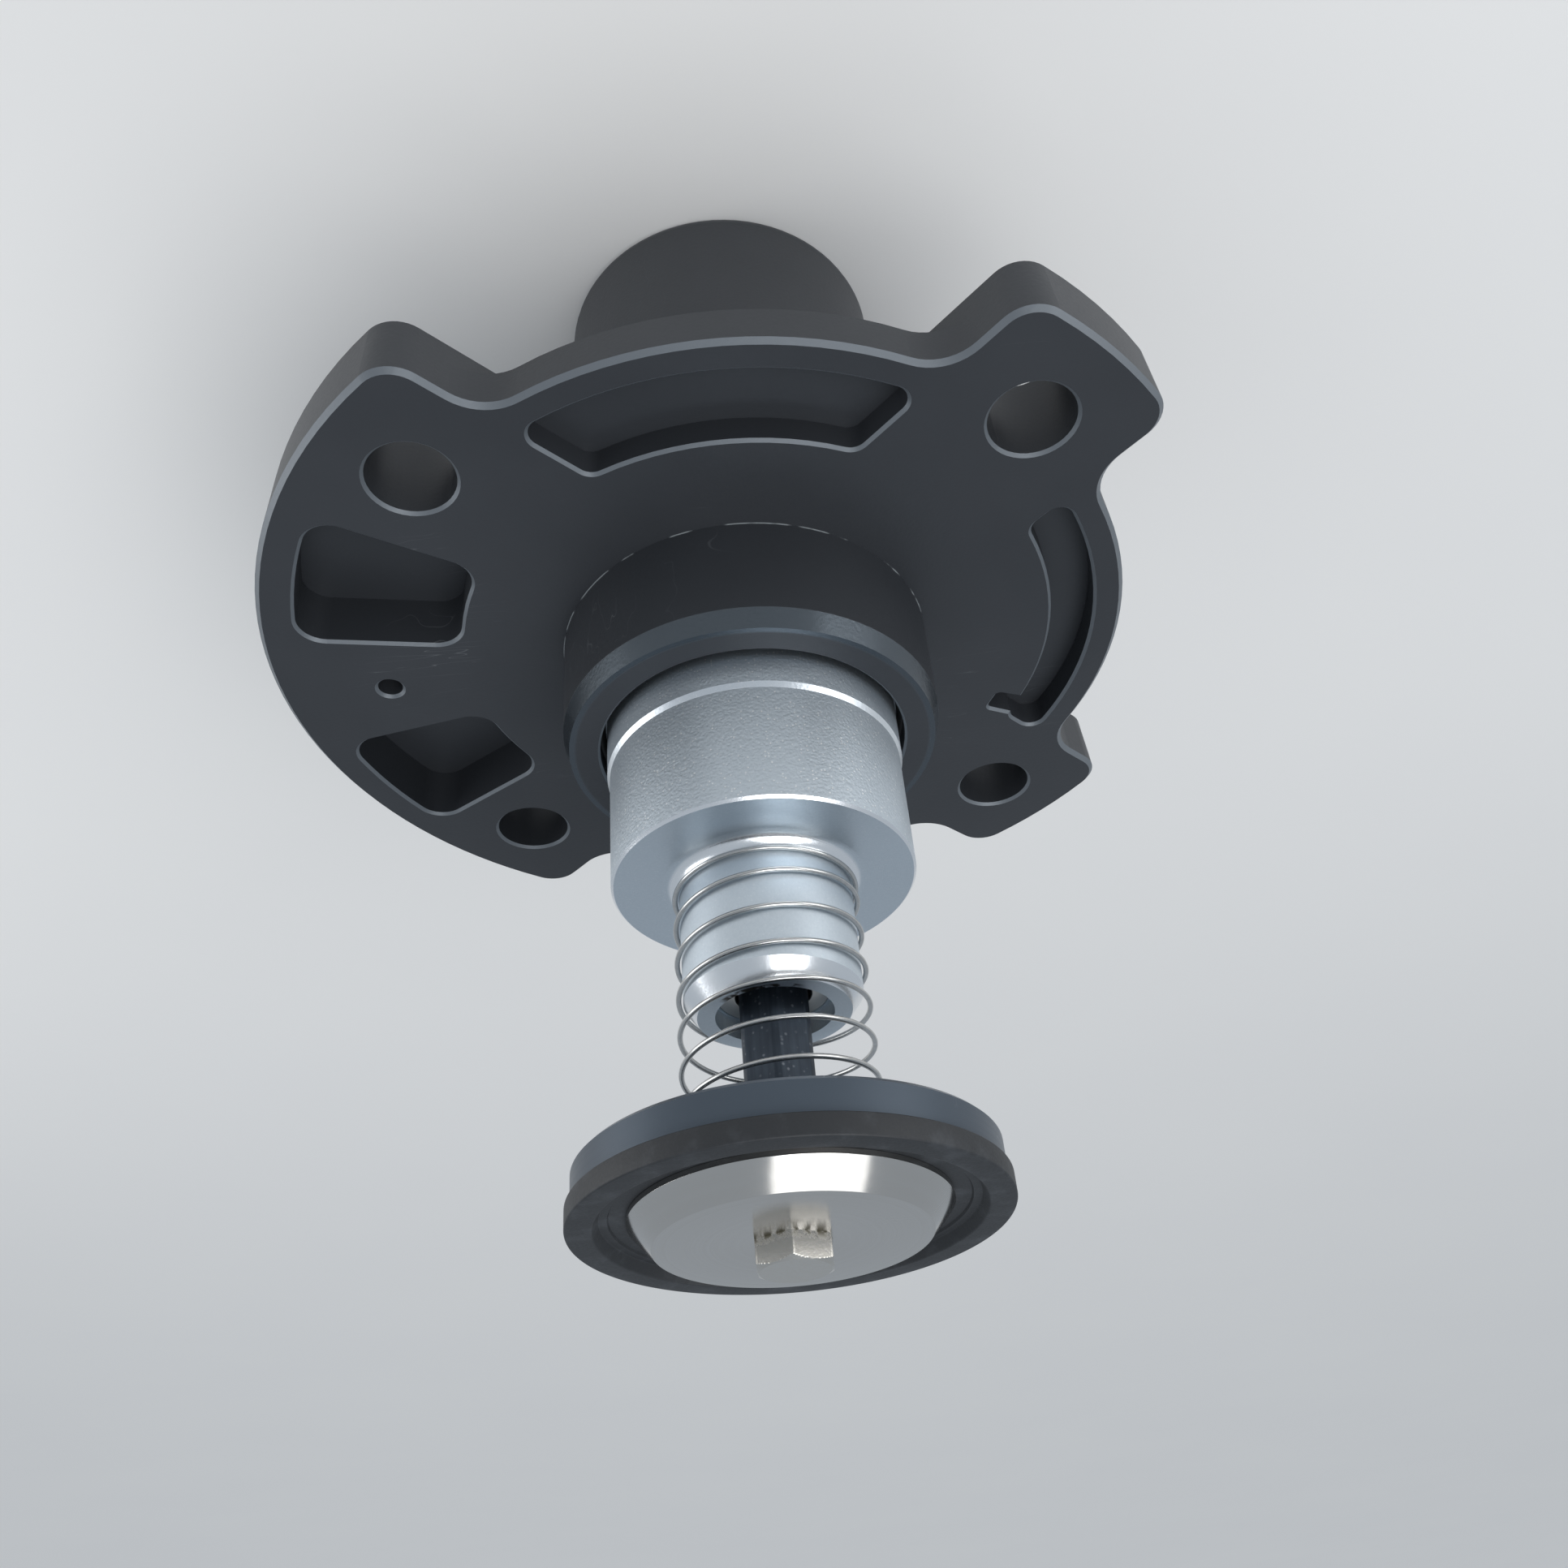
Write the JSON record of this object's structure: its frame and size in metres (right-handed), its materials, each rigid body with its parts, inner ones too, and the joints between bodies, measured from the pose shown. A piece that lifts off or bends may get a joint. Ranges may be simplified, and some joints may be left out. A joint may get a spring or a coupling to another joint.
{
  "type": "minimum pressure valve",
  "caption": "Minimum pressure valve with a flanged cover, sprung piston and check plate on a guide stem.",
  "frame": {"origin": "centre of the flange's front mounting face, on the valve axis", "axes": "+Z along the valve axis, from the closed spring cap towards the valve plate; +X towards the flange's wide side with the two deep pockets"},
  "size_m": [0.146, 0.131, 0.191],
  "materials": {
    "cast_cover": "dark slate-grey anodised casting, satin",
    "blasted_aluminium": "bead-blasted aluminium with bright turned chamfers",
    "spring_steel": "bright drawn wire",
    "plain_steel": "plain turned steel",
    "turned_steel": "fine turned stainless steel, glossy",
    "black_steel": "blackened hexagon bar, satin",
    "black_plate": "dark slate-blue anodised, satin",
    "bearing_plastic": "filled bearing plastic of the guide band",
    "seal_rubber": "moulded black rubber"
  },
  "bodies": {
    "cover": {"valve_cover": "cast_cover", "snap_ring": "spring_steel", "spring_seat": "plain_steel", "main_spring": "spring_steel"},
    "piston": {"piston": "blasted_aluminium", "guide_band": "bearing_plastic", "piston_seal": "seal_rubber", "stem_bush": "plain_steel", "check_spring": "spring_steel"},
    "check_valve": {"guide_stem": "black_steel", "stem_ring": "spring_steel", "valve_plate": "black_plate", "plate_seal": "seal_rubber", "retainer_disc": "turned_steel", "hex_bolt": "turned_steel"}
  },
  "joints": [
    {"name": "piston_slide", "type": "slide", "parent": "cover", "child": "piston", "axis": [0, 0, -1], "range_m": [0, 0.012], "stiffness_N_per_m": 20000, "springref_m": -0.015, "deforming": ["main_spring"]},
    {"name": "check_slide", "type": "slide", "parent": "piston", "child": "check_valve", "axis": [0, 0, -1], "range_m": [0, 0.0225], "stiffness_N_per_m": 300, "springref_m": -0.02, "deforming": ["check_spring"]}
  ]
}
